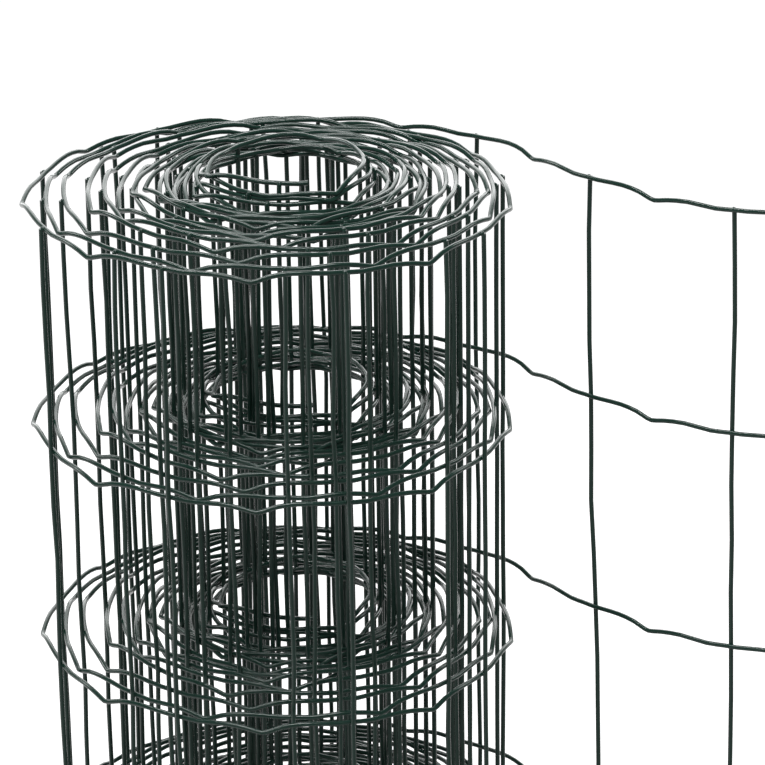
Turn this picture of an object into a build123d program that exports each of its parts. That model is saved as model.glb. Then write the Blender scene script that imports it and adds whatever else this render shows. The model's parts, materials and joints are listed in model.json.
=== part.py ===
"""Roll of welded, plastic-coated garden fencing, standing on its end with the outer end pulled loose.

Sizes are in millimetres. The origin is on the floor, on the axis of the outermost turn. +Z is up,
and the free end leaves the back of the roll and runs out towards +X.
"""
import os
from math import cos, floor, pi, sin

from build123d import *

# Mesh: upright stay wires welded to the outer side of level line wires
MESH_WIDTH = 76.2          # from stay to stay
MESH_HEIGHT = 101.6        # from line wire to line wire
MESH_ROWS = 9              # meshes from the bottom edge to the top edge
WIRE_DIAMETER = 2.1        # over the plastic coat
WIRE_SIDES = 8             # sides of a wire's section
WELD_DEPTH = 0.5           # how far a stay is sunk into a line wire
STAY_TIP = 0.5             # end of a stay past the side of the outermost line wire
FLOOR_GAP = 0.4            # under the crimps of the bottom line wire

# Crimp: one dip in every line wire, halfway between two stays
CRIMP_DEPTH = 3.4
CRIMP_WIDTH = 32.0

# Wound part, with the eye off centre, so that the turns are tight on one side and slack on the other
ROLL_DIAMETER = 211.0      # between the middles of the outermost line wire
EYE_DIAMETER = 58.0        # clear hole inside the innermost turn
EYE_OFFSET = 15.5          # from the roll's axis to the eye's axis
EYE_ANGLE = -27.0          # direction of the eye, from the place where the free end leaves
LEAVE_ANGLE = 78.0         # direction of the place where the free end leaves, from +X
TURN_GAP = 0.9             # least clear gap between two turns, on the tight side
LAST_TURN_GAP = 4.0        # clear gap under the free end where it leaves the roll
LAST_TURN_EASE = 5         # power by which the last turn comes out to the full diameter early
CORE_LIFT = 12.0           # how far the innermost turn has slid up out of the outer ones
CORE_LIFT_SHARES = (1.0, 0.6, 0.25)  # part of that for each of the inner turns, from the eye outwards
BENDS = 24                 # straight runs in one turn of the stiff mesh

# Free end: straight off the roll, curled the way it was wound, then flared outwards and straight
LEAD_LENGTH = 22.0         # straight run up to the first crimp
CURL_RADIUS = 112.0
CURL_ANGLE = 48.0
FLARE_RADIUS = 195.0
FLARE_ANGLE = 54.0
FREE_STAYS = 5
END_STUB = 12.7            # line wires past the last stay

# Levels
wire_radius = WIRE_DIAMETER / 2
lowest_line = FLOOR_GAP + CRIMP_DEPTH + wire_radius
line_heights = [lowest_line + row * MESH_HEIGHT for row in range(MESH_ROWS + 1)]
stay_bottom = line_heights[0] - wire_radius - STAY_TIP
fence_top = line_heights[-1] + wire_radius + STAY_TIP

# Winding: every turn takes an even share of the way out from the eye, and the last one a larger share
weld_offset = WIRE_DIAMETER - WELD_DEPTH
skin = weld_offset + wire_radius
roll_radius = ROLL_DIAMETER / 2
eye_radius = EYE_DIAMETER / 2
eye_centre = Vector(EYE_OFFSET, 0).rotate(Axis.Z, EYE_ANGLE)
turn_margin = wire_radius + TURN_GAP / 2
inner_radius = eye_radius / cos(pi / BENDS) + turn_margin
last_turn_step = skin + LAST_TURN_GAP + wire_radius
tight_room = roll_radius - last_turn_step - inner_radius - EYE_OFFSET
turn_count = floor(tight_room / (WIRE_DIAMETER + TURN_GAP)) + 1
core_turns = len(CORE_LIFT_SHARES)
last_turn_share = last_turn_step / (roll_radius - inner_radius - eye_centre.X)
turn_share = (1 - last_turn_share) / (turn_count - 1)

# The winding plane has its x axis towards the place where the free end leaves
winding_plane = Plane.XY.rotated((0, 0, LEAVE_ANGLE))


def turn_corner(bend: int, shift: float) -> Vector:
    """Bend of the sheet, counted from its inner end, moved outwards by shift."""
    turns = bend / BENDS
    last_turn = max(0, turns - turn_count + 1)
    last_turn_rise = 1 - (1 - last_turn) ** LAST_TURN_EASE
    way_out = min(turns, turn_count - 1) * turn_share + last_turn_rise * last_turn_share
    radius = inner_radius + way_out * (roll_radius - inner_radius) + shift
    return eye_centre * (1 - way_out) + Vector(cos(2 * pi * turns), -sin(2 * pi * turns)) * radius


def turn_corners(first: int, last: int, shift: float) -> list[Vector]:
    """Bends of the turns from first up to last, moved outwards by shift."""
    return [turn_corner(bend, shift) for bend in range(first * BENDS, last * BENDS + 1)]


def turn_outline(turn: int, shift: float, mode: Mode = Mode.ADD) -> None:
    """Face inside one turn, with the step where the next turn starts."""
    with BuildLine() as outline:
        corners = turn_corners(turn, turn + 1, shift)
        corners[0].Y = corners[-1].Y
        for start, middle, end in zip(corners[::2], corners[1::2], corners[2::2]):
            ThreePointArc(start, middle, end)
        Line(corners[-1], corners[0])
    make_face(outline.edges(), mode=mode)


def turn_bands(first: int, last: int) -> None:
    """Face as wide as a wire that follows the turns from first up to last."""
    with BuildLine() as outline:
        inside = turn_corners(first, last, -wire_radius)
        Polyline(*turn_corners(first, last, wire_radius), *reversed(inside), close=True)
    make_face(outline.edges())


# Wound roll, with the turns' edges standing up from both ends and each inner turn slid up by its own share
turn_groups = [(turn, turn + 1, CORE_LIFT * share) for turn, share in enumerate(CORE_LIFT_SHARES)]
turn_groups += [(core_turns, turn_count, 0)]
with BuildPart() as wound_roll:
    for first, last, lift in turn_groups:
        with BuildSketch(winding_plane.offset(lift + WIRE_DIAMETER)):
            turn_outline(last - 1, skin if last == turn_count else turn_margin)
            if first:
                turn_outline(first - 1, turn_margin, mode=Mode.SUBTRACT)
            else:
                with Locations(eye_centre):
                    Circle(eye_radius, mode=Mode.SUBTRACT)
        extrude(amount=fence_top - 2 * WIRE_DIAMETER)
        for level in (lift, lift + fence_top - WIRE_DIAMETER):
            with BuildSketch(winding_plane.offset(level)):
                turn_bands(first, last)
            extrude(amount=WIRE_DIAMETER)
wound_roll.part.label = "wound_roll"

# Plan curve of the free end on the winding plane, along the middles of its line wires
first_stay = LEAD_LENGTH + CRIMP_WIDTH / 2 + MESH_WIDTH / 2
stay_places = [first_stay + number * MESH_WIDTH for number in range(FREE_STAYS)]
free_length = stay_places[-1] + END_STUB
with BuildLine() as plan_curve:
    lead = Line((roll_radius, 0), (roll_radius, -LEAD_LENGTH))
    curl = JernArc(start=lead @ 1, tangent=lead % 1, radius=CURL_RADIUS, arc_size=-CURL_ANGLE)
    flare = JernArc(start=curl @ 1, tangent=curl % 1, radius=FLARE_RADIUS, arc_size=FLARE_ANGLE)
    Line(flare @ 1, (flare @ 1) + (flare % 1) * free_length)


def sheet_point(distance: float, outwards: float = 0) -> Vector:
    """Place on the plan curve, or beside it on the outer side of the roll."""
    place = plan_curve.wire().position_at(distance, position_mode=PositionMode.LENGTH)
    heading = plan_curve.wire().tangent_at(distance, position_mode=PositionMode.LENGTH)
    return winding_plane.from_local_coords(place + Vector(0, 0, 1).cross(heading) * outwards)


def line_wire_points(height: float) -> list[Vector]:
    """Corners of a crimped line wire from the roll to the end of the sheet."""
    stations = [(0, 0)]
    for stay in stay_places:
        crimp = stay - MESH_WIDTH / 2
        stations += [(crimp - CRIMP_WIDTH / 2, 0), (crimp, CRIMP_DEPTH), (crimp + CRIMP_WIDTH / 2, 0)]
        stations += [(stay, 0)]
    stations += [(free_length, 0)]
    return [sheet_point(distance) + Vector(0, 0, height - dip) for distance, dip in stations]


# Free end, with its crimped line wires and the stays welded across them
with BuildPart() as free_end:
    for height in line_heights:
        with BuildLine() as line_wire:
            Polyline(*line_wire_points(height))
        with BuildSketch(Plane(origin=line_wire.line @ 0, z_dir=line_wire.line % 0)):
            RegularPolygon(wire_radius, side_count=WIRE_SIDES)
        sweep(path=line_wire.line, transition=Transition.RIGHT)
    with BuildSketch(Plane.XY.offset(stay_bottom)):
        with Locations(*[sheet_point(stay, weld_offset) for stay in stay_places]):
            RegularPolygon(wire_radius, side_count=WIRE_SIDES)
    extrude(amount=fence_top - stay_bottom)
free_end.part.label = "free_end"

os.makedirs("parts", exist_ok=True)
export_step(wound_roll.part, "parts/wound_roll.step")
export_step(free_end.part, "parts/free_end.step")
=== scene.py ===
"""Roll of plastic-coated welded fencing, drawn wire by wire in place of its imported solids.

The fence is one sheet. Its line wires follow a guide that starts at the eye, winds outwards and leaves
the roll as the free end. The stays and the welds are set on the same guide, and a shared sway moves line
wires, stays and welds together, so that nothing comes apart at a joint. Sizes are in metres.
"""
import json
import logging
import math
from dataclasses import dataclass, field
from enum import Enum
from typing import Any

import bpy
import numpy as np
from mathutils import Matrix, Vector


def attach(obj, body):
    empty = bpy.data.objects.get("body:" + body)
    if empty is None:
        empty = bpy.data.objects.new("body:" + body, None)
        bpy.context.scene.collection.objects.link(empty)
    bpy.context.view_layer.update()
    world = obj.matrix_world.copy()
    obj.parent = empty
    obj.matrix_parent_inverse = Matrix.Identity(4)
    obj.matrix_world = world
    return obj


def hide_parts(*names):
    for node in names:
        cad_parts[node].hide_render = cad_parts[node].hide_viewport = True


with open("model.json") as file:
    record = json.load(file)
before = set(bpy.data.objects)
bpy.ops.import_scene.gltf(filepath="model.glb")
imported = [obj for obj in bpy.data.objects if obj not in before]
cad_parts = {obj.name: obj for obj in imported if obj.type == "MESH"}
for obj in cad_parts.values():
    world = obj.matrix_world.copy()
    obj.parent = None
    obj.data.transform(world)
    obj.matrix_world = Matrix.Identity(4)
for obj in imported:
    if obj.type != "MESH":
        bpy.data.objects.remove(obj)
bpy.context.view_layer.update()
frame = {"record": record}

log = logging.getLogger("fence_roll")

MM = 0.001
BODY = "root"
NODES = ("wound_roll", "free_end")
EYE_SLACK = 6.3 * MM              # room round the stated eye for the bends of the innermost turn
LEAVE_ANGLE = math.radians(78.0)  # direction of the place where the free end leaves the roll
SEED = 356                        # of the wobble, the wander and the sway

# Output, scale and detail of each noise in the coat
COAT_NOISES = (("Wear", 34.0, 3.0), ("Dull", 85.0, 2.0), ("Height", 420.0, 2.0))

Points = np.ndarray
Socket = bpy.types.NodeSocket


class Wire(Enum):
    """Kinds of piece that the sheet is dressed with."""

    LINE = "line_wire"
    STAY = "stay_wires"
    WELD = "weld_fillets"


# Node trees


@dataclass
class TreeSketch:
    """A node tree that is being drawn.

    Attributes:
        tree: The tree the nodes go into.
    """

    tree: bpy.types.NodeTree

    def node(self, kind: str, **settings: Any) -> bpy.types.Node:
        """Add a node.

        Args:
            kind: The node's type name.
            **settings: Properties of the node to set.

        Returns:
            The new node.
        """
        node = self.tree.nodes.new(kind)
        for name, value in settings.items():
            setattr(node, name, value)
        return node

    def feed(self, socket: Socket, value: Any) -> None:
        """Link a socket to another socket, or set its constant.

        Args:
            socket: The input socket.
            value: An output socket, or a constant.
        """
        if isinstance(value, Socket):
            self.tree.links.new(value, socket)
        else:
            socket.default_value = value

    def math(self, operation: str, *values: Any) -> Socket:
        """Add a math node.

        Args:
            operation: The operation's name.
            *values: Its inputs in order, each a socket or a number.

        Returns:
            The result's socket.
        """
        node = self.node("ShaderNodeMath", operation=operation)
        for socket, value in zip(node.inputs, values):
            self.feed(socket, value)
        return node.outputs[0]

    def vector(self, operation: str, **values: Any) -> Socket:
        """Add a vector math node.

        Args:
            operation: The operation's name.
            **values: Its inputs: first, second and scale, each a socket or a constant.

        Returns:
            The resulting vector's socket.
        """
        node = self.node("ShaderNodeVectorMath", operation=operation)
        places = {"first": 0, "second": 1, "scale": 3}
        for name, value in values.items():
            self.feed(node.inputs[places[name]], value)
        return node.outputs[0]

    def combine(self, x: Any, y: Any, z: Any) -> Socket:
        """Add a node that makes a vector of three values.

        Args:
            x: First value, a socket or a number.
            y: Second value.
            z: Third value.

        Returns:
            The vector's socket.
        """
        node = self.node("ShaderNodeCombineXYZ")
        for socket, value in zip(node.inputs, (x, y, z)):
            self.feed(socket, value)
        return node.outputs[0]

    def socket(self, name: str, kind: str, way: str = "INPUT", default: Any = None) -> None:
        """Add a socket to the tree's own interface.

        Args:
            name: The socket's name.
            kind: Its type name without the NodeSocket in front.
            way: INPUT or OUTPUT.
            default: Its default value, if it has one.
        """
        item = self.tree.interface.new_socket(name, in_out=way, socket_type=f"NodeSocket{kind}")
        if default is not None:
            item.default_value = default


def geometry_sketch(name: str, inputs: dict[str, str]) -> tuple[TreeSketch, dict[str, Socket]]:
    """Start a Geometry Nodes tree that takes a guide and gives geometry.

    Args:
        name: The tree's name.
        inputs: Type name of each named input after the guide.

    Returns:
        The sketch, and the group input's sockets by name.
    """
    sketch = TreeSketch(bpy.data.node_groups.new(name, "GeometryNodeTree"))
    sketch.socket("Guide", "Geometry")
    for label, kind in inputs.items():
        sketch.socket(label, kind)
    sketch.socket("Geometry", "Geometry", "OUTPUT")
    entry = sketch.node("NodeGroupInput")
    return sketch, {socket.name: socket for socket in entry.outputs if socket.name}


def close_geometry(sketch: TreeSketch, geometry: Socket, coat: Socket) -> None:
    """End a Geometry Nodes tree: shade smooth, realize the instances and set the material.

    Args:
        sketch: The tree's sketch.
        geometry: The geometry made so far.
        coat: Socket of the material to set.
    """
    smooth = sketch.node("GeometryNodeSetShadeSmooth")
    realize = sketch.node("GeometryNodeRealizeInstances")
    material = sketch.node("GeometryNodeSetMaterial")
    leave = sketch.node("NodeGroupOutput")
    sketch.feed(smooth.inputs["Geometry"], geometry)
    sketch.feed(realize.inputs["Geometry"], smooth.outputs[0])
    sketch.feed(material.inputs["Geometry"], realize.outputs[0])
    sketch.feed(material.inputs["Material"], coat)
    sketch.feed(leave.inputs[0], material.outputs[0])


def named_attribute(sketch: TreeSketch, name: str, kind: str) -> Socket:
    """Read an attribute of the guide.

    Args:
        sketch: The tree's sketch.
        name: The attribute's name.
        kind: Its data type.

    Returns:
        The attribute's socket.
    """
    node = sketch.node("GeometryNodeInputNamedAttribute", data_type=kind)
    node.inputs["Name"].default_value = name
    return node.outputs["Attribute"]


def wire_mesh(sketch: TreeSketch, curve: Socket, radius: Any, sides: Any) -> Socket:
    """Turn a curve into a round wire.

    Args:
        sketch: The tree's sketch.
        curve: The curve's socket.
        radius: The wire's radius.
        sides: Number of sides of its section.

    Returns:
        The mesh's socket.
    """
    section = sketch.node("GeometryNodeCurvePrimitiveCircle", mode="RADIUS")
    sketch.feed(section.inputs["Resolution"], sides)
    sketch.feed(section.inputs["Radius"], radius)
    sweep = sketch.node("GeometryNodeCurveToMesh")
    sketch.feed(sweep.inputs["Curve"], curve)
    sketch.feed(sweep.inputs["Profile Curve"], section.outputs["Curve"])
    sketch.feed(sweep.inputs["Fill Caps"], True)
    return sweep.outputs["Mesh"]


def smooth_step(
    sketch: TreeSketch, value: Socket, edges: tuple[float, float], results: tuple[float, float]
) -> Socket:
    """Ease from one number to another as a value passes from one edge to the other.

    Args:
        sketch: The tree's sketch.
        value: Socket of the value.
        edges: Values at which the easing begins and ends.
        results: Numbers at the two edges.

    Returns:
        The result's socket.
    """
    ramp = sketch.node("ShaderNodeMapRange", interpolation_type="SMOOTHSTEP")
    for name, number in zip(("From Min", "From Max", "To Min", "To Max"), edges + results):
        sketch.feed(ramp.inputs[name], number)
    sketch.feed(ramp.inputs["Value"], value)
    return ramp.outputs["Result"]


@dataclass
class SheetSway:
    """How the sheet bows and leans between its joints, the same for every wire on it.

    Attributes:
        amount: Largest shift of a wire out of the sheet.
        drift: Largest shift of a stay along its line wires.
        lean: How far the free end's stays have been pushed along the sheet, below its top.
        lean_reach: Height below the top edge over which they lean.
        lean_run: Distances from the roll at which the lean sets in, is full and has eased off.
        eased_share: Share of the lean that is left past the last of these.
        run: Length of sheet over which the shift changes.
        rise: Height over which the shift changes.
        gain: Brings the noise's usual swing up to the largest shift.
        apart: How far apart in the noise the two shifts are read.
        tree: The node group, once it is built.
    """

    amount: float = 0.7 * MM
    drift: float = 1.2 * MM
    lean: float = 9.7 * MM
    lean_reach: float = 350 * MM
    lean_run: tuple[float, float, float] = (60 * MM, 150 * MM, 230 * MM)
    eased_share: float = 0.4
    run: float = 90 * MM
    rise: float = 75 * MM
    gain: float = 4.0
    apart: int = 7
    tree: bpy.types.NodeTree | None = field(default=None, repr=False)

    def build(self, loose_from: float, top: float) -> None:
        """Make the node group that the trees of all wires use.

        Args:
            loose_from: Distance along the sheet at which it leaves the roll.
            top: Height of the top line wire.
        """
        sketch = TreeSketch(bpy.data.node_groups.new("Sheet sway", "GeometryNodeTree"))
        for name in ("Along", "Level"):
            sketch.socket(name, "Float")
        for name in ("Give", "Tangent"):
            sketch.socket(name, "Vector")
        sketch.socket("Across", "Vector", "OUTPUT")
        sketch.socket("Sideways", "Vector", "OUTPUT")
        entry, leave = sketch.node("NodeGroupInput"), sketch.node("NodeGroupOutput")
        begin, full, eased = (loose_from + distance for distance in self.lean_run)
        loose = smooth_step(sketch, entry.outputs["Along"], (begin, full), (0.0, 1.0))
        left = smooth_step(sketch, entry.outputs["Along"], (full, eased), (1.0, self.eased_share))
        lean = smooth_step(sketch, entry.outputs["Level"], (top, top - self.lean_reach), (0.0, self.lean))
        lean = sketch.math("MULTIPLY", lean, sketch.math("MULTIPLY", loose, left))
        along = sketch.math("DIVIDE", entry.outputs["Along"], self.run)
        level = sketch.math("DIVIDE", entry.outputs["Level"], self.rise)
        shifts = (("Give", self.amount, 0.0), ("Tangent", self.drift, lean))
        for place, (direction, size, base) in enumerate(shifts):
            layer = float(SEED + self.apart * place)
            noise = sketch.node("ShaderNodeTexNoise", noise_dimensions="3D")
            sketch.feed(noise.inputs["Vector"], sketch.combine(along, level, layer))
            sketch.feed(noise.inputs["Scale"], 1.0)
            sketch.feed(noise.inputs["Detail"], 1.0)
            swing = sketch.math("SUBTRACT", noise.outputs[0], 0.5)
            shift = sketch.math("MULTIPLY_ADD", swing, self.gain * size, base)
            moved = sketch.vector("SCALE", first=entry.outputs[direction], scale=shift)
            sketch.feed(leave.inputs[place], moved)
        self.tree = sketch.tree

    def use(self, sketch: TreeSketch, along: Any, level: Any, give: Any, tangent: Any) -> bpy.types.Node:
        """Put the group into another tree.

        Args:
            sketch: The other tree's sketch.
            along: Distance along the sheet.
            level: Height on the sheet.
            give: Outward direction, as long as the sheet is free to move there.
            tangent: Direction along the sheet.

        Returns:
            The group node, with the shifts Across and Sideways.
        """
        group = sketch.node("GeometryNodeGroup")
        group.node_tree = self.tree
        for name, value in (("Along", along), ("Level", level), ("Give", give), ("Tangent", tangent)):
            sketch.feed(group.inputs[name], value)
        return group


# Finishes


@dataclass(frozen=True)
class CoatFinish:
    """Glossy plastic coat over the wire.

    Attributes:
        name: The material's name.
        deep: Colour where the coat is thick.
        thin: Colour where it is thin or rubbed.
        roughness: Lowest and highest roughness.
        bump: Height of the coat's unevenness.
        bump_strength: How strongly that shows.
        ior: The plastic's index of refraction.
    """

    name: str
    deep: tuple[float, float, float]
    thin: tuple[float, float, float]
    roughness: tuple[float, float]
    bump: float
    bump_strength: float = 0.5
    ior: float = 1.52

    def build(self, unevenness: bpy.types.NodeTree) -> bpy.types.Material:
        """Make the material.

        Args:
            unevenness: The node group that all coats share.

        Returns:
            The material.
        """
        material = bpy.data.materials.new(self.name)
        material.use_nodes = True
        sketch = TreeSketch(material.node_tree)
        shader = material.node_tree.nodes["Principled BSDF"]
        group = sketch.node("ShaderNodeGroup")
        group.node_tree = unevenness
        colour = sketch.node("ShaderNodeMix", data_type="RGBA")
        sketch.feed(colour.inputs["Factor"], group.outputs["Wear"])
        sketch.feed(colour.inputs[6], (*self.deep, 1.0))
        sketch.feed(colour.inputs[7], (*self.thin, 1.0))
        gloss = sketch.node("ShaderNodeMapRange")
        sketch.feed(gloss.inputs["Value"], group.outputs["Dull"])
        sketch.feed(gloss.inputs["To Min"], self.roughness[0])
        sketch.feed(gloss.inputs["To Max"], self.roughness[1])
        bump = sketch.node("ShaderNodeBump")
        sketch.feed(bump.inputs["Strength"], self.bump_strength)
        sketch.feed(bump.inputs["Distance"], self.bump)
        sketch.feed(bump.inputs["Height"], group.outputs["Height"])
        sketch.feed(shader.inputs["Base Color"], colour.outputs[2])
        sketch.feed(shader.inputs["Roughness"], gloss.outputs["Result"])
        sketch.feed(shader.inputs["Normal"], bump.outputs["Normal"])
        sketch.feed(shader.inputs["IOR"], self.ior)
        return material


def coat_unevenness() -> bpy.types.NodeTree:
    """Make the node group for the dipped coat's unevenness, shared by all coats.

    Returns:
        The group, with the values Wear, Dull and Height.
    """
    sketch = TreeSketch(bpy.data.node_groups.new("Coat unevenness", "ShaderNodeTree"))
    for name, _, _ in COAT_NOISES:
        sketch.socket(name, "Float", "OUTPUT")
    leave = sketch.node("NodeGroupOutput")
    place = sketch.node("ShaderNodeTexCoord").outputs["Object"]
    for name, scale, detail in COAT_NOISES:
        noise = sketch.node("ShaderNodeTexNoise", noise_dimensions="3D")
        sketch.feed(noise.inputs["Vector"], place)
        sketch.feed(noise.inputs["Scale"], scale)
        sketch.feed(noise.inputs["Detail"], detail)
        sketch.feed(leave.inputs[name], noise.outputs[0])
    return sketch.tree


WIRE_COAT = CoatFinish("wire_coat", (0.008, 0.028, 0.020), (0.014, 0.041, 0.031), (0.09, 0.19), 0.03 * MM)
WELD_COAT = CoatFinish("weld_coat", (0.009, 0.029, 0.021), (0.016, 0.043, 0.033), (0.13, 0.26), 0.06 * MM)


# The sheet


@dataclass(frozen=True)
class MeshSizes:
    """Sizes of the welded mesh.

    Attributes:
        width: From stay to stay.
        height: From line wire to line wire.
        rows: Meshes from the bottom edge to the top edge.
        wire: Wire diameter over the coat.
        weld_depth: How far a stay is sunk into a line wire.
        stay_tip: End of a stay past the middle of the outermost line wire.
        lowest_line: Height of the bottom line wire.
        bead: Radius of the coat's bead on a weld.
        crimp: Depth of the crimp in each mesh, from the wire's highest place to its lowest.
        end_stub: Line wires past the last stay.
    """

    width: float = 76.2 * MM
    height: float = 101.6 * MM
    rows: int = 9
    wire: float = 2.1 * MM
    weld_depth: float = 0.5 * MM
    stay_tip: float = 0.2 * MM
    lowest_line: float = 3.0 * MM
    bead: float = 1.15 * MM
    crimp: float = 3.1 * MM
    end_stub: float = 12.7 * MM

    @property
    def levels(self) -> list[float]:
        """Heights of the line wires on the sheet."""
        return [self.lowest_line + row * self.height for row in range(self.rows + 1)]


@dataclass(frozen=True)
class FreeEnd:
    """Plan of the end that has been pulled loose.

    Attributes:
        lead: Straight run off the roll.
        curl: Radius and angle of the part that still curls as it was wound.
        flare: Radius and angle of the part that flares outwards.
        length: Distance from the roll to its edge.
    """

    lead: float = 22.0 * MM
    curl: tuple[float, float] = (112.0 * MM, math.radians(48.0))
    flare: tuple[float, float] = (195.0 * MM, math.radians(54.0))
    length: float = 393.6 * MM

    def headings(self, distances: Points) -> Points:
        """Direction of the sheet at each distance from the roll.

        Args:
            distances: Distances along the free end.

        Returns:
            The directions as angles from +X.
        """
        (curl_radius, curl_angle), (flare_radius, flare_angle) = self.curl, self.flare
        curl_end = self.lead + curl_radius * curl_angle
        flare_end = curl_end + flare_radius * flare_angle
        start = LEAVE_ANGLE - math.pi / 2
        return np.interp(
            distances,
            [0.0, self.lead, curl_end, flare_end],
            [start, start, start - curl_angle, start - curl_angle + flare_angle],
        )

    def points(self, start: Points, step: float) -> Points:
        """Plan points from just off the roll to the edge.

        Args:
            start: Plan point where the sheet leaves the roll.
            step: Distance between points.

        Returns:
            The points, one row each.
        """
        count = math.ceil(self.length / step)
        middles = (np.arange(count) + 0.5) * self.length / count
        headings = self.headings(middles)
        moves = np.column_stack((np.cos(headings), np.sin(headings))) * self.length / count
        return start + np.cumsum(moves, axis=0)


@dataclass(frozen=True)
class Winding:
    """Plan and lift of the wound part, from the eye outwards.

    Attributes:
        eye_centre: Plan point of the eye's axis.
        inner_radius: From the eye's axis to the innermost line wire.
        roll_radius: From the roll's axis to the outermost line wire.
        centre_power: Power by which the turns' centres move from the eye to the roll's axis.
        turn_shares: Way out from the eye halfway round each turn, as a share of the whole.
        core_lift: How far the innermost turn has slid up.
        lift_shares: How far each turn has slid up, halfway round it, as a share of that.
        bulge: How far the outermost turn bulges at the bulge's angle.
        bulge_angle: Direction in which the outer turns are slackest.
        bulge_power: Power that keeps the bulge to the outer turns and to that side.
        give_limits: How free the sheet is to move on the tight side and on the slack side.
        wobble: Largest shift of a slack turn in plan.
        wobble_rates: Waves of the wobble in a turn.
        wander: Largest change of a turn's lift on its way round.
        wander_rates: Waves of the wander in a turn.
        level_turns: Turns at the outside that stand level.
        settling_turns: Turns inside those over which the wander grows to its full size.
        ease_steps: Places in a turn over which the shares are averaged.
    """

    eye_centre: tuple[float, float]
    inner_radius: float
    roll_radius: float = 105.5 * MM
    centre_power: float = 3.0
    turn_shares: tuple[float, ...] = (
        0.0, 0.03, 0.06, 0.09, 0.13, 0.17, 0.21, 0.25, 0.285, 0.32,
        0.36, 0.41, 0.47, 0.54, 0.62, 0.71, 0.80, 0.90, 1.0,
    )
    core_lift: float = 12.0 * MM
    lift_shares: tuple[float, ...] = (
        1.0, 0.6, 0.3, 0.12, 0.05, 0.12, 0.12, 0.08, 0.08, 0.08,
        0.04, 0.08, 0.04, 0.04, 0.04, 0.04, 0.04, 0.0, 0.0,
    )
    bulge: float = 7.0 * MM
    bulge_angle: float = math.radians(-54.0)
    bulge_power: int = 4
    give_limits: tuple[float, float] = (0.2, 1.0)
    wobble: float = 2.2 * MM
    wobble_rates: tuple[float, ...] = (1.37, 2.21, 3.13)
    wander: float = 3.0 * MM
    wander_rates: tuple[float, ...] = (0.83, 1.71, 2.39)
    level_turns: float = 1.2
    settling_turns: float = 3.0
    ease_steps: int = 9

    @property
    def turns(self) -> int:
        """Number of turns."""
        return len(self.turn_shares)

    def waves(self, turns: Points, rates: tuple[float, ...], seed: int) -> Points:
        """Smooth random waves along the winding, between about -1 and 1.

        Args:
            turns: Places along the winding, in turns from the eye.
            rates: Waves in a turn.
            seed: Seed of the waves' phases.

        Returns:
            The waves' height at each place.
        """
        phases = np.random.default_rng(seed).uniform(0, 2 * math.pi, len(rates))
        ranks = range(1, len(rates) + 1)
        parts = [
            np.sin(2 * math.pi * rate * turns + phase) / rank
            for rate, phase, rank in zip(rates, phases, ranks)
        ]
        return np.sum(parts, axis=0) / sum(1 / rank for rank in ranks)

    def points(self, step: float) -> tuple[Points, Points]:
        """Points of the winding, with the lift as their height.

        Args:
            step: Largest distance between points.

        Returns:
            The points, one row each, and how free the sheet is to move at each of them, from 0 to 1.
        """
        count = math.ceil(self.turns * 2 * math.pi * self.roll_radius / step)
        turns = np.linspace(0.0, self.turns, count)
        middles = np.arange(self.turns) + 0.5
        share = self.smooth(turns, middles, np.array(self.turn_shares))
        lift = self.smooth(turns, middles, np.array(self.lift_shares)) * self.core_lift
        angle = LEAVE_ANGLE - 2 * math.pi * turns
        eye = np.array(self.eye_centre)
        tight_angle = math.atan2(eye[1], eye[0])
        tight, slack = self.give_limits
        give = tight + (slack - tight) / 2 * (1 - np.cos(angle - tight_angle))
        ends = np.clip(self.turns - turns, 0.0, 1.0)
        facing = np.maximum(np.cos(angle - self.bulge_angle), 0.0)
        radius = self.inner_radius + share * (self.roll_radius - self.inner_radius)
        radius = radius + self.bulge * (share * facing) ** self.bulge_power
        radius = radius + self.wobble * give * ends * self.waves(turns, self.wobble_rates, SEED)
        centre = np.outer(1 - share ** self.centre_power, eye)
        plan = centre + np.column_stack((np.cos(angle), np.sin(angle))) * radius[:, None]
        settled = np.clip((self.turns - self.level_turns - turns) / self.settling_turns, 0.0, 1.0)
        wander = self.waves(turns, self.wander_rates, SEED + 1)
        lift = np.maximum(lift + self.wander * settled * wander, 0.0)
        return np.column_stack((plan, lift)), give

    def smooth(self, places: Points, knots: Points, values: Points) -> Points:
        """Values between knots, eased so that the slope has no sharp corners.

        Args:
            places: Where the values are wanted.
            knots: Places of the known values.
            values: The known values.

        Returns:
            The value at each place.
        """
        spread = np.linspace(-0.5, 0.5, self.ease_steps)
        return np.mean([np.interp(places + shift, knots, values) for shift in spread], axis=0)


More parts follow.
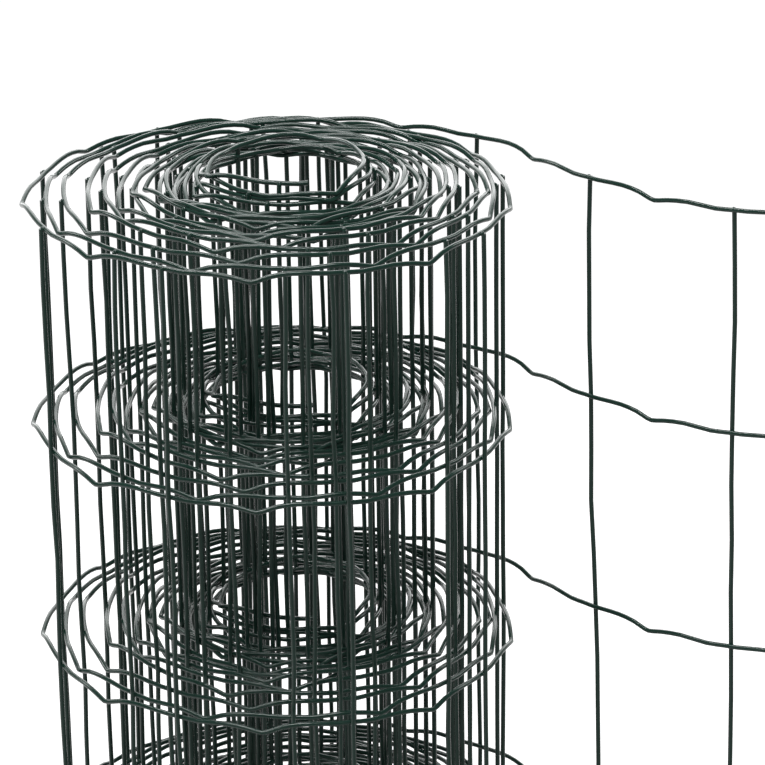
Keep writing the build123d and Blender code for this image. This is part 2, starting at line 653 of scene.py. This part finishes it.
@dataclass
class FenceSheet:
    """The whole sheet: the guide that its wires follow and the pieces made on it.

    Attributes:
        sizes: The mesh's sizes.
        winding: The wound part.
        free_end: The loose part.
        sway: How the sheet bows between its joints.
        sheet_length: Length that the fence is sold in.
        stiffness: How much the wound sheet straightens between its crimps.
        free_stiffness: The same for the free end.
        largest_pull: Distance over which the straightening levels off.
        crimp_place: Lowest place of a crimp, as a share of the mesh width.
        guide_step: Distance between the points of the smooth guide.
        passes: Times that the guide is straightened, because its length changes with it.
        free_give: How free the free end's edge is to move.
        sides: Sides of a wire's section.
        stay_runs: Straight runs of a stay in each mesh.
        bead_rounds: Subdivisions of a bead.
        station_shares: Places of the guide's points in each mesh, as shares of its width.
        crimp_shares: Outline of a crimp: share of the mesh width and share of the depth.
        path: Distances, places and directions along the guide, once it is laid out.
        first_stay: Distance of the innermost stay along the guide.
        stay_count: Number of stays.
    """

    sizes: MeshSizes
    winding: Winding
    free_end: FreeEnd
    sway: SheetSway
    sheet_length: float = 7.62
    stiffness: float = 0.5
    free_stiffness: float = 0.15
    largest_pull: float = 24.0 * MM
    crimp_place: float = 0.505
    guide_step: float = 0.8 * MM
    passes: int = 5
    free_give: float = 0.8
    sides: int = 10
    stay_runs: int = 4
    bead_rounds: int = 2
    station_shares: tuple[float, ...] = (
        0.0, 0.08, 0.15, 0.21, 0.28, 0.34, 0.40, 0.475, 0.505, 0.535, 0.59, 0.65, 0.72, 0.80, 0.89, 0.95,
    )
    crimp_shares: tuple[tuple[float, float], ...] = (
        (0.0, 0.39), (0.08, 0.33), (0.20, 0.08), (0.28, 0.0), (0.34, 0.08), (0.475, 0.88), (0.505, 1.0),
        (0.535, 0.88), (0.65, 0.40), (0.72, 0.29), (0.80, 0.40), (0.89, 0.55), (0.95, 0.48), (1.0, 0.39),
    )
    path: dict[str, Points] = field(default_factory=dict, repr=False)
    first_stay: float = 0.0
    stay_count: int = 0

    def lay_out(self) -> None:
        """Work out the guide: places, directions and freedom to move along the whole sheet."""
        wound, give = self.winding.points(self.guide_step)
        loose = self.free_end.points(wound[-1, :2], self.guide_step)
        loose_lift = np.full((len(loose), 1), wound[-1, 2])
        smooth = np.vstack((wound, np.hstack((loose, loose_lift))))
        freedom = np.concatenate((give, np.linspace(give[-1], self.free_give, len(loose))))
        stiffness = np.full((len(smooth), 1), self.stiffness)
        stiffness[len(wound):] = self.free_stiffness
        points = smooth
        for _ in range(self.passes):
            points = smooth + self.pull(smooth, self.distances(points)) * stiffness
        run = self.distances(points)
        stations = self.stations(run[-1])
        places = self.between(stations, run, points)
        tangent = np.gradient(places[:, :2], stations, axis=0)
        tangent /= np.linalg.norm(tangent, axis=1, keepdims=True)
        outward = np.column_stack((-tangent[:, 1], tangent[:, 0], np.zeros(len(tangent))))
        self.path = {
            "along": stations,
            "place": places,
            "outward": outward,
            "give": outward * np.interp(stations, run, freedom)[:, None],
        }
        log.info("sheet of %.3f m with %d stays", stations[-1] - stations[0], self.stay_count)

    def stations(self, end: float) -> Points:
        """Count the stays inwards from the sheet's edge, and place the guide's points between them.

        Args:
            end: Distance of the sheet's edge along the guide.

        Returns:
            The distances of the guide's points.
        """
        width, stub = self.sizes.width, self.sizes.end_stub
        start = max(0.0, end - self.sheet_length)
        last_stay = end - stub
        self.stay_count = math.floor((last_stay - start) / width) + 1
        self.first_stay = last_stay - (self.stay_count - 1) * width
        start = max(start, self.first_stay - stub)
        shares = np.add.outer(np.arange(-1, self.stay_count), self.station_shares).ravel()
        stations = self.first_stay + shares * width
        inside = stations[(stations > start) & (stations < end)]
        return np.unique(np.concatenate(([start], inside, [end])))

    def pull(self, smooth: Points, run: Points) -> Points:
        """Way from the smooth sheet to the straight line between its crimps, where it bends most easily.

        Args:
            smooth: Points of the smooth sheet.
            run: Distance of each point along the sheet.

        Returns:
            The move of each point, limited where the turns are small.
        """
        width = self.sizes.width
        count = math.ceil(run[-1] / width) + 1
        crimps = run[-1] - self.sizes.end_stub - (np.arange(count, -2, -1) + 1 - self.crimp_place) * width
        crimps = np.clip(crimps, 0.0, run[-1])
        move = self.between(run, crimps, self.between(crimps, run, smooth)) - smooth
        return move / (1 + np.linalg.norm(move, axis=1, keepdims=True) / self.largest_pull)

    @staticmethod
    def distances(points: Points) -> Points:
        """Distance of each point along the path that they make.

        Args:
            points: The points, one row each.

        Returns:
            The distances from the first point.
        """
        return np.concatenate(([0.0], np.cumsum(np.linalg.norm(np.diff(points, axis=0), axis=1))))

    @staticmethod
    def between(places: Points, knots: Points, values: Points) -> Points:
        """Straight-line values between knots, column by column.

        Args:
            places: Where the values are wanted.
            knots: Places of the known values.
            values: The known values, one row each.

        Returns:
            The values, one row for each place.
        """
        return np.column_stack([np.interp(places, knots, column) for column in values.T])

    def guide(self, name: str, along: Points, joined: bool) -> bpy.types.Mesh:
        """Make a guide mesh with the sheet's attributes at its points.

        Args:
            name: The mesh's name.
            along: Distances along the sheet.
            joined: Whether edges join the points into a path.

        Returns:
            The mesh.
        """
        edges = [(point, point + 1) for point in range(len(along) - 1)] if joined else []
        mesh = bpy.data.meshes.new(name)
        places = self.between(along, self.path["along"], self.path["place"])
        mesh.from_pydata(places.tolist(), edges, [])
        distance = mesh.attributes.new("along", "FLOAT", "POINT")
        distance.data.foreach_set("value", along.astype(np.float32))
        for label in ("outward", "give"):
            values = self.between(along, self.path["along"], self.path[label])
            attribute = mesh.attributes.new(label, "FLOAT_VECTOR", "POINT")
            attribute.data.foreach_set("vector", values.astype(np.float32).ravel())
        return mesh

    def swayed(self, sketch: TreeSketch, level: Any) -> tuple[bpy.types.Node, Socket]:
        """Read the guide's attributes in a tree and put the shared sway on them.

        Args:
            sketch: The tree's sketch.
            level: Height on the sheet.

        Returns:
            The sway's group node, and the outward direction's socket.
        """
        along = named_attribute(sketch, "along", "FLOAT")
        outward = named_attribute(sketch, "outward", "FLOAT_VECTOR")
        give = named_attribute(sketch, "give", "FLOAT_VECTOR")
        tangent = sketch.vector("CROSS_PRODUCT", first=outward, second=(0.0, 0.0, 1.0))
        return self.sway.use(sketch, along, level, give, tangent), outward

    def line_tree(self) -> bpy.types.NodeTree:
        """Make the tree for one crimped line wire.

        Returns:
            The tree.
        """
        inputs = {"Level": "Float", "Crimp": "Float", "Radius": "Float", "Sides": "Int", "Coat": "Material"}
        sketch, entry = geometry_sketch("Crimped line wire", inputs)
        along = named_attribute(sketch, "along", "FLOAT")
        meshes = sketch.math("DIVIDE", sketch.math("SUBTRACT", along, self.first_stay), self.sizes.width)
        outline = sketch.node("ShaderNodeFloatCurve")
        points = outline.mapping.curves[0].points
        while len(points) < len(self.crimp_shares):
            points.new(0.5, 0.5)
        for point, (share, depth) in zip(points, self.crimp_shares):
            point.location = (share, depth)
            point.handle_type = "AUTO_CLAMPED"
        outline.mapping.update()
        sketch.feed(outline.inputs["Value"], sketch.math("FRACT", meshes))
        below = sketch.math("SUBTRACT", outline.outputs[0], self.crimp_shares[0][1])
        dip = sketch.math("MULTIPLY", below, entry["Crimp"])
        sway, _ = self.swayed(sketch, entry["Level"])
        drop = sketch.combine(0.0, 0.0, sketch.math("SUBTRACT", entry["Level"], dip))
        curve = sketch.node("GeometryNodeMeshToCurve")
        sketch.feed(curve.inputs[0], entry["Guide"])
        shift = sketch.node("GeometryNodeSetPosition")
        sketch.feed(shift.inputs["Geometry"], curve.outputs[0])
        sketch.feed(shift.inputs["Offset"], sketch.vector("ADD", first=sway.outputs["Across"], second=drop))
        wire = wire_mesh(sketch, shift.outputs[0], entry["Radius"], entry["Sides"])
        close_geometry(sketch, wire, entry["Coat"])
        return sketch.tree

    def on_marks(self, sketch: TreeSketch, guide: Socket, upright: Socket, offset: Socket) -> Socket:
        """Stand a copy of an upright on every mark of the guide, and sway it with the sheet.

        Args:
            sketch: The tree's sketch.
            guide: Socket of the guide.
            upright: Socket of the upright, a curve or a row of points.
            offset: Distance of the copies from the line wires' middles, outwards.

        Returns:
            The copies' socket.
        """
        level = sketch.node("GeometryNodeStoreNamedAttribute", data_type="FLOAT", domain="POINT")
        level.inputs["Name"].default_value = "level"
        height = sketch.node("ShaderNodeSeparateXYZ")
        sketch.feed(height.inputs[0], sketch.node("GeometryNodeInputPosition").outputs[0])
        sketch.feed(level.inputs["Geometry"], upright)
        sketch.feed(level.inputs["Value"], height.outputs["Z"])
        marks = sketch.node("GeometryNodeMeshToPoints")
        sketch.feed(marks.inputs[0], guide)
        stand = sketch.node("GeometryNodeInstanceOnPoints")
        sketch.feed(stand.inputs["Points"], marks.outputs[0])
        sketch.feed(stand.inputs["Instance"], level.outputs[0])
        copies = sketch.node("GeometryNodeRealizeInstances")
        sketch.feed(copies.inputs[0], stand.outputs[0])
        sway, outward = self.swayed(sketch, named_attribute(sketch, "level", "FLOAT"))
        aside = sketch.vector("SCALE", first=outward, scale=offset)
        bow = sketch.vector("ADD", first=sway.outputs["Across"], second=sway.outputs["Sideways"])
        shift = sketch.node("GeometryNodeSetPosition")
        sketch.feed(shift.inputs["Geometry"], copies.outputs[0])
        sketch.feed(shift.inputs["Offset"], sketch.vector("ADD", first=aside, second=bow))
        return shift.outputs[0]

    def stay_tree(self) -> bpy.types.NodeTree:
        """Make the tree that stands a stay on every mark of the guide.

        Returns:
            The tree.
        """
        inputs = {
            "Bottom": "Float", "Top": "Float", "Bends": "Int", "Weld Offset": "Float",
            "Radius": "Float", "Sides": "Int", "Coat": "Material",
        }
        sketch, entry = geometry_sketch("Welded stays", inputs)
        line = sketch.node("GeometryNodeCurvePrimitiveLine", mode="POINTS")
        sketch.feed(line.inputs["Start"], sketch.combine(0.0, 0.0, entry["Bottom"]))
        sketch.feed(line.inputs["End"], sketch.combine(0.0, 0.0, entry["Top"]))
        bends = sketch.node("GeometryNodeResampleCurve")
        sketch.feed(bends.inputs["Curve"], line.outputs[0])
        sketch.feed(bends.inputs["Count"], entry["Bends"])
        stays = self.on_marks(sketch, entry["Guide"], bends.outputs[0], entry["Weld Offset"])
        wire = wire_mesh(sketch, stays, entry["Radius"], entry["Sides"])
        close_geometry(sketch, wire, entry["Coat"])
        return sketch.tree

    def weld_tree(self) -> bpy.types.NodeTree:
        """Make the tree that puts a bead of coat on every joint of a stay and a line wire.

        Returns:
            The tree.
        """
        inputs = {
            "Lowest": "Float", "Height": "Float", "Lines": "Int", "Weld Offset": "Float",
            "Bead": "Float", "Coat": "Material",
        }
        sketch, entry = geometry_sketch("Weld fillets", inputs)
        column = sketch.node("GeometryNodeMeshLine", mode="OFFSET")
        sketch.feed(column.inputs["Count"], entry["Lines"])
        sketch.feed(column.inputs["Start Location"], sketch.combine(0.0, 0.0, entry["Lowest"]))
        sketch.feed(column.inputs["Offset"], sketch.combine(0.0, 0.0, entry["Height"]))
        half = sketch.math("MULTIPLY", entry["Weld Offset"], 0.5)
        joints = self.on_marks(sketch, entry["Guide"], column.outputs[0], half)
        bead = sketch.node("GeometryNodeMeshIcoSphere")
        sketch.feed(bead.inputs["Radius"], entry["Bead"])
        sketch.feed(bead.inputs["Subdivisions"], self.bead_rounds)
        beads = sketch.node("GeometryNodeInstanceOnPoints")
        sketch.feed(beads.inputs["Points"], joints)
        sketch.feed(beads.inputs["Instance"], bead.outputs["Mesh"])
        close_geometry(sketch, beads.outputs[0], entry["Coat"])
        return sketch.tree

    def piece(
        self, name: str, guide: bpy.types.Mesh, tree: bpy.types.NodeTree, values: dict[str, Any]
    ) -> bpy.types.Object:
        """Run a tree on a guide and keep the result as a plain mesh.

        Args:
            name: The piece's name.
            guide: The guide mesh.
            tree: The tree to run.
            values: Value of each named input.

        Returns:
            The piece.
        """
        piece = bpy.data.objects.new(name, guide)
        bpy.context.scene.collection.objects.link(piece)
        modifier = piece.modifiers.new(tree.name, "NODES")
        modifier.node_group = tree
        for item in tree.interface.items_tree:
            if item.item_type == "SOCKET" and item.in_out == "INPUT" and item.name in values:
                modifier[item.identifier] = values[item.name]
        depsgraph = bpy.context.evaluated_depsgraph_get()
        mesh = bpy.data.meshes.new_from_object(piece.evaluated_get(depsgraph))
        piece.modifiers.remove(modifier)
        piece.data = mesh
        mesh.name = name
        for label in ("along", "outward", "give", "level"):
            if label in mesh.attributes:
                mesh.attributes.remove(mesh.attributes[label])
        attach(piece, BODY)
        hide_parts(*NODES)
        return piece

    def build(self, wire_coat: bpy.types.Material, weld_coat: bpy.types.Material) -> list[bpy.types.Object]:
        """Make all wires and welds of the sheet.

        Args:
            wire_coat: Material of the wires.
            weld_coat: Material of the welds.

        Returns:
            The pieces.
        """
        self.lay_out()
        sizes = self.sizes
        self.sway.build(self.path["along"][-1] - self.free_end.length, sizes.levels[-1])
        weld_offset = sizes.wire - sizes.weld_depth
        path = self.guide("sheet_path", self.path["along"], True)
        stays = self.first_stay + np.arange(self.stay_count) * sizes.width
        marks = self.guide("stay_marks", stays, False)
        wire = {"Radius": sizes.wire / 2, "Sides": self.sides, "Coat": wire_coat}
        line_tree, pieces = self.line_tree(), []
        for number, level in enumerate(sizes.levels, start=1):
            values = {"Level": level, "Crimp": sizes.crimp, **wire}
            pieces.append(self.piece(f"{Wire.LINE.value}_{number:02d}", path, line_tree, values))
        values = {
            "Bottom": sizes.levels[0] - sizes.stay_tip, "Top": sizes.levels[-1] + sizes.stay_tip,
            "Bends": self.stay_runs * sizes.rows + 1, "Weld Offset": weld_offset, **wire,
        }
        pieces.append(self.piece(Wire.STAY.value, marks, self.stay_tree(), values))
        values = {
            "Lowest": sizes.levels[0], "Height": sizes.height, "Lines": sizes.rows + 1,
            "Weld Offset": weld_offset, "Bead": sizes.bead, "Coat": weld_coat,
        }
        pieces.append(self.piece(Wire.WELD.value, marks, self.weld_tree(), values))
        for mesh in (path, marks):
            bpy.data.meshes.remove(mesh)
        return pieces


# The studio


@dataclass(frozen=True)
class SoftBox:
    """A lamp with a wide white face, which only reflections show.

    Attributes:
        name: The light's name.
        place: Where it hangs.
        size: Width and height of its face.
        radiance: How bright its face is, where 1 is white.
    """

    name: str
    place: tuple[float, float, float]
    size: tuple[float, float]
    radiance: float


SOFT_BOXES = (
    SoftBox("back_panel", (0.05, 2.0, 1.6), (2.2, 2.2), 1.5),
    SoftBox("top_strip", (-0.2, -0.3, 2.7), (1.8, 0.2), 26.0),
    SoftBox("front_strip", (-0.8, -1.5, 2.5), (1.0, 0.25), 10.0),
    SoftBox("left_box", (-2.0, 0.9, 1.9), (0.5, 1.0), 6.0),
    SoftBox("right_box", (2.1, 0.9, 1.9), (0.5, 1.0), 5.0),
)


@dataclass
class Studio:
    """Camera, lights, floor and background.

    Attributes:
        camera_place: The camera's place.
        pitch: How far the camera looks down.
        roll: How far it is turned about its own axis.
        lens: Its focal length in millimetres.
        sensor: Width of its sensor in millimetres.
        clip: Distances between which it sees.
        target: Place that the lights face.
        floor_size: Side of the floor.
        floor_bounce: Share of the light that the floor throws back at the roll.
        floor_shown: The same share where the camera sees the floor.
        floor_glow: How much of the floor's white doesn't depend on the light on it, near and far.
        shadow_edges: Distances from the roll's axis at which that begins to grow and is full.
        room_light: Strength of the background as a light.
        floor_way: Direction on the floor in which reflections show it brighter.
        floor_edges: Distances that way at which the floor begins to brighten and is white.
        floor_light: How bright reflections show the floor's dim and white parts.
        sweep_edges: Depths of a direction at which the white sweep behind begins and is full.
        sweep_light: How bright reflections show the dim room and the sweep.
    """

    camera_place: tuple[float, float, float] = (0.0487, -1.5838, 1.45925)
    pitch: float = math.radians(21.7)
    roll: float = math.radians(-0.784)
    lens: float = 183.1
    sensor: float = 36.0
    clip: tuple[float, float] = (0.05, 200.0)
    target: tuple[float, float, float] = (0.05, 0.0, 0.8)
    floor_size: float = 60.0
    floor_bounce: float = 0.80
    floor_shown: float = 0.45
    floor_glow: tuple[float, float] = (0.48, 0.85)
    shadow_edges: tuple[float, float] = (0.5, 1.4)
    room_light: float = 0.36
    floor_way: tuple[float, float, float] = (-0.6, 0.8, 0.0)
    floor_edges: tuple[float, float] = (-1.4, 0.9)
    floor_light: tuple[float, float] = (0.30, 1.0)
    sweep_edges: tuple[float, float] = (0.5, 0.92)
    sweep_light: tuple[float, float] = (0.10, 1.0)

    def add_camera(self) -> None:
        """Add the camera and make it the scene's own."""
        data = bpy.data.cameras.new("camera")
        data.lens, data.sensor_width = self.lens, self.sensor
        data.clip_start, data.clip_end = self.clip
        camera = bpy.data.objects.new("camera", data)
        bpy.context.scene.collection.objects.link(camera)
        turn = Matrix.Rotation(math.pi / 2 - self.pitch, 4, "X") @ Matrix.Rotation(self.roll, 4, "Z")
        camera.matrix_world = Matrix.Translation(self.camera_place) @ turn
        bpy.context.scene.camera = camera

    def add_light(self, box: SoftBox) -> None:
        """Add a soft box that faces the roll.

        Args:
            box: The soft box.
        """
        width, height = box.size
        data = bpy.data.lights.new(box.name, "AREA")
        data.shape, data.size, data.size_y = "RECTANGLE", width, height
        data.energy = box.radiance * math.pi * width * height
        light = bpy.data.objects.new(box.name, data)
        bpy.context.scene.collection.objects.link(light)
        away = Vector(box.place) - Vector(self.target)
        light.location = box.place
        light.rotation_euler = away.to_track_quat("Z", "Y").to_euler()
        light.visible_camera = False

    def add_floor(self) -> None:
        """Add the pale floor, which shows white and keeps the roll's shadow."""
        half = self.floor_size / 2
        corners = [(-half, -half, 0.0), (half, -half, 0.0), (half, half, 0.0), (-half, half, 0.0)]
        mesh = bpy.data.meshes.new("floor")
        mesh.from_pydata(corners, [], [(0, 1, 2, 3)])
        mesh.materials.append(self.floor_white())
        floor = bpy.data.objects.new("floor", mesh)
        bpy.context.scene.collection.objects.link(floor)

    def floor_white(self) -> bpy.types.Material:
        """Make the floor's white, which looks different to the camera, in reflections and as a light.

        Returns:
            The material.
        """
        material = bpy.data.materials.new("floor_white")
        material.use_nodes = True
        material.node_tree.nodes.clear()
        sketch = TreeSketch(material.node_tree)
        path = sketch.node("ShaderNodeLightPath")
        bounce = sketch.node("ShaderNodeBsdfDiffuse")
        sketch.feed(bounce.inputs["Color"], (*[self.floor_bounce] * 3, 1.0))
        shown = sketch.node("ShaderNodeBsdfDiffuse")
        sketch.feed(shown.inputs["Color"], (*[self.floor_shown] * 3, 1.0))
        place = sketch.node("ShaderNodeTexCoord").outputs["Object"]
        away = sketch.node("ShaderNodeVectorMath", operation="LENGTH")
        sketch.feed(away.inputs[0], place)
        glow = sketch.node("ShaderNodeEmission")
        white = smooth_step(sketch, away.outputs["Value"], self.shadow_edges, self.floor_glow)
        sketch.feed(glow.inputs["Strength"], white)
        seen = sketch.node("ShaderNodeAddShader")
        sketch.feed(seen.inputs[0], shown.outputs[0])
        sketch.feed(seen.inputs[1], glow.outputs[0])
        toward = sketch.node("ShaderNodeVectorMath", operation="DOT_PRODUCT")
        sketch.feed(toward.inputs[0], place)
        sketch.feed(toward.inputs[1], self.floor_way)
        mirrored = sketch.node("ShaderNodeEmission")
        bright = smooth_step(sketch, toward.outputs["Value"], self.floor_edges, self.floor_light)
        sketch.feed(mirrored.inputs["Strength"], bright)
        surface = bounce
        for rays, look in (("Glossy", mirrored), ("Transmission", seen), ("Camera", seen)):
            mix = sketch.node("ShaderNodeMixShader")
            sketch.feed(mix.inputs[0], path.outputs[f"Is {rays} Ray"])
            sketch.feed(mix.inputs[1], surface.outputs[0])
            sketch.feed(mix.inputs[2], look.outputs[0])
            surface = mix
        sketch.feed(sketch.node("ShaderNodeOutputMaterial").inputs["Surface"], surface.outputs[0])
        return material

    def add_world(self) -> None:
        """Make the background: white where it is seen, and a dim room with a white sweep in reflections."""
        world = bpy.data.worlds.new("studio")
        world.use_nodes = True
        world.node_tree.nodes.clear()
        sketch = TreeSketch(world.node_tree)
        way = sketch.node("ShaderNodeSeparateXYZ")
        sketch.feed(way.inputs[0], sketch.node("ShaderNodeTexCoord").outputs["Generated"])
        path = sketch.node("ShaderNodeLightPath")
        lit = sketch.node("ShaderNodeMix", data_type="FLOAT")
        sketch.feed(lit.inputs[0], path.outputs["Is Glossy Ray"])
        sketch.feed(lit.inputs[2], self.room_light)
        sweep = smooth_step(sketch, way.outputs["Y"], self.sweep_edges, self.sweep_light)
        sketch.feed(lit.inputs[3], sweep)
        shown = sketch.math("MAXIMUM", path.outputs["Is Camera Ray"], path.outputs["Is Transmission Ray"])
        background = sketch.node("ShaderNodeBackground")
        sketch.feed(background.inputs["Color"], (1.0, 1.0, 1.0, 1.0))
        sketch.feed(background.inputs["Strength"], sketch.math("MAXIMUM", shown, lit.outputs[0]))
        sketch.feed(sketch.node("ShaderNodeOutputWorld").inputs["Surface"], background.outputs[0])
        bpy.context.scene.world = world

    def build(self) -> None:
        """Set up the whole studio."""
        self.add_camera()
        self.add_world()
        self.add_floor()
        for box in SOFT_BOXES:
            self.add_light(box)
        bpy.context.scene.view_settings.view_transform = "Standard"


def eye_of_roll() -> tuple[tuple[float, float], float]:
    """Read the eye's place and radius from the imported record.

    Returns:
        The eye's plan centre and its clear radius.
    """
    eye = next(mount for mount in frame["record"]["mounts"] if mount["name"] == "eye")
    return (eye["pos_m"][0], eye["pos_m"][1]), eye["dims"]["r_mm"] * MM


def triangle_count(piece: bpy.types.Object) -> int:
    """Number of triangles that a piece's faces make."""
    return sum(len(face.vertices) - 2 for face in piece.data.polygons)


def main() -> None:
    """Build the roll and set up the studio."""
    logging.basicConfig(level=logging.INFO)
    sizes = MeshSizes()
    eye_centre, eye_radius = eye_of_roll()
    winding = Winding(eye_centre=eye_centre, inner_radius=eye_radius + sizes.wire / 2 + EYE_SLACK)
    sheet = FenceSheet(sizes, winding, FreeEnd(), SheetSway())
    unevenness = coat_unevenness()
    for piece in sheet.build(WIRE_COAT.build(unevenness), WELD_COAT.build(unevenness)):
        log.info("%s has %d triangles", piece.name, triangle_count(piece))
    Studio().build()


if __name__ == "__main__":
    main()
